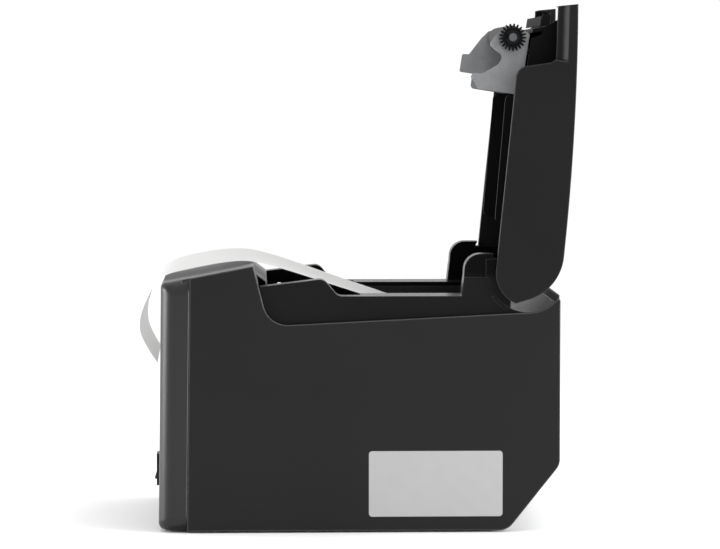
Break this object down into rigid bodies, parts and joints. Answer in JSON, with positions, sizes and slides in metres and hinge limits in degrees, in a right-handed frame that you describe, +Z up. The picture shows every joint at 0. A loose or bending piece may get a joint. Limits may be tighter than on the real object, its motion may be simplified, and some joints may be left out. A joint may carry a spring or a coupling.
{
  "type": "receipt printer",
  "caption": "Countertop thermal receipt printer with its hinged top cover open, paper roll in the bay and the paper strip drawn out over the sloping front.",
  "frame": {"origin": "on the table under the middle of the whole at rest, with the cover open", "axes": "+X towards the rear of the printer, +Y towards its left-hand side, +Z up"},
  "size_m": [0.2165, 0.14, 0.2612],
  "materials": {
    "charcoal_abs": "fine spark-eroded texture",
    "black_abs": "fine spark-eroded texture",
    "dark_acetal": "smooth moulded",
    "grey_acetal": "smooth moulded",
    "zinc_steel": "zinc-plated pressed sheet",
    "ground_steel": "ground",
    "extruded_aluminium": "extruded",
    "platen_rubber": "ground rubber",
    "head_ceramic": "fired",
    "thermal_paper": "coated",
    "core_board": "wound tube",
    "lens_acrylic": "polished",
    "board_laminate": "solder mask",
    "component_resin": "moulded",
    "socket_plastic": "moulded"
  },
  "bodies": {
    "body": {"main_case": "charcoal_abs", "front_panel": "charcoal_abs", "inner_frame": "black_abs", "roll_bucket": "black_abs", "base_plate": "black_abs", "power_switch_body": "black_abs", "mech_frame": "zinc_steel", "exit_guide": "zinc_steel", "head_spring": "zinc_steel", "connector_panel": "zinc_steel", "cutter_housing": "zinc_steel", "feed_motor": "zinc_steel", "hinge_pins": "ground_steel", "head_pin": "ground_steel", "gear_posts": "ground_steel", "case_screws": "ground_steel", "inlet_pins": "ground_steel", "supply_heat_sink": "extruded_aluminium", "rubber_feet": "platen_rubber", "paper_web": "thermal_paper", "status_lenses": "lens_acrylic", "control_board": "board_laminate", "main_board": "board_laminate", "supply_board": "board_laminate", "board_chips": "component_resin", "button_switch": "component_resin", "transformer": "component_resin", "capacitor": "component_resin", "mains_inlet": "socket_plastic", "data_socket": "socket_plastic", "network_socket": "socket_plastic", "drawer_socket": "socket_plastic"},
    "cover": {"cover_shell": "charcoal_abs", "cover_liner": "black_abs", "platen_frame": "zinc_steel", "platen_bushings": "dark_acetal", "fixed_blade": "ground_steel", "frame_screws": "ground_steel"},
    "platen": {"platen_roller": "platen_rubber", "platen_shaft": "ground_steel", "platen_gear": "grey_acetal", "retaining_clips": "ground_steel"},
    "roll": {"paper_roll": "thermal_paper", "roll_core": "core_board"},
    "head": {"heat_sink": "extruded_aluminium", "print_head": "head_ceramic"},
    "latch": {"latch_hooks": "zinc_steel", "release_lever": "dark_acetal"},
    "button": {"feed_button": "dark_acetal"},
    "rocker": {"power_rocker": "dark_acetal"},
    "pinion": {"motor_pinion": "grey_acetal"},
    "reduction": {"reduction_gear": "grey_acetal"},
    "drive": {"drive_gear": "grey_acetal"},
    "blade": {"moving_blade": "ground_steel"}
  },
  "joints": [
    {"name": "cover_hinge", "type": "hinge", "parent": "body", "child": "cover", "pos_m": [0.0836, 0, 0.1284], "axis": [0, -1, 0], "range_deg": [0, 98.9], "deforming": ["paper_web"]},
    {"name": "platen_spin", "type": "hinge", "parent": "cover", "child": "platen", "pos_m": [0.07696, 0, 0.24503], "axis": [0, 1, 0], "continuous": true},
    {"name": "roll_spin", "type": "hinge", "parent": "body", "child": "roll", "pos_m": [0.0225, 0, 0.0673], "axis": [0, 1, 0], "continuous": true},
    {"name": "head_tilt", "type": "hinge", "parent": "body", "child": "head", "pos_m": [-0.03913, 0, 0.08715], "axis": [0, -1, 0], "range_deg": [0, 2.5], "stiffness_Nm_per_rad": 2, "springref_deg": -17.19, "deforming": ["head_spring"]},
    {"name": "latch_release", "type": "hinge", "parent": "body", "child": "latch", "pos_m": [-0.029, 0, 0.084], "axis": [0, 1, 0], "range_deg": [0, 11], "stiffness_Nm_per_rad": 0.05, "springref_deg": -17.19},
    {"name": "feed_press", "type": "slide", "parent": "body", "child": "button", "axis": [0.187, 0, -0.9824], "range_m": [0, 0.001], "stiffness_N_per_m": 300, "springref_m": -0.002},
    {"name": "power_tilt", "type": "hinge", "parent": "body", "child": "rocker", "pos_m": [-0.0965, -0.045, 0.0296], "axis": [0, -1, 0], "range_deg": [0, 16]},
    {"name": "drive_spin", "type": "hinge", "parent": "body", "child": "drive", "pos_m": [-0.0436, 0, 0.093], "axis": [0, 1, 0], "continuous": true},
    {"name": "reduction_spin", "type": "hinge", "parent": "body", "child": "reduction", "pos_m": [-0.05048, 0, 0.08173], "axis": [0, 1, 0], "continuous": true},
    {"name": "motor_spin", "type": "hinge", "parent": "body", "child": "pinion", "pos_m": [-0.05048, 0, 0.06973], "axis": [0, 1, 0], "continuous": true},
    {"name": "blade_slide", "type": "slide", "parent": "body", "child": "blade", "axis": [1, 0, 0], "range_m": [0, 0.01]}
  ],
  "couplings": [
    {"joint": "reduction_spin", "follows": "drive_spin", "ratio": -2.1429},
    {"joint": "motor_spin", "follows": "drive_spin", "ratio": 6.4286}
  ]
}
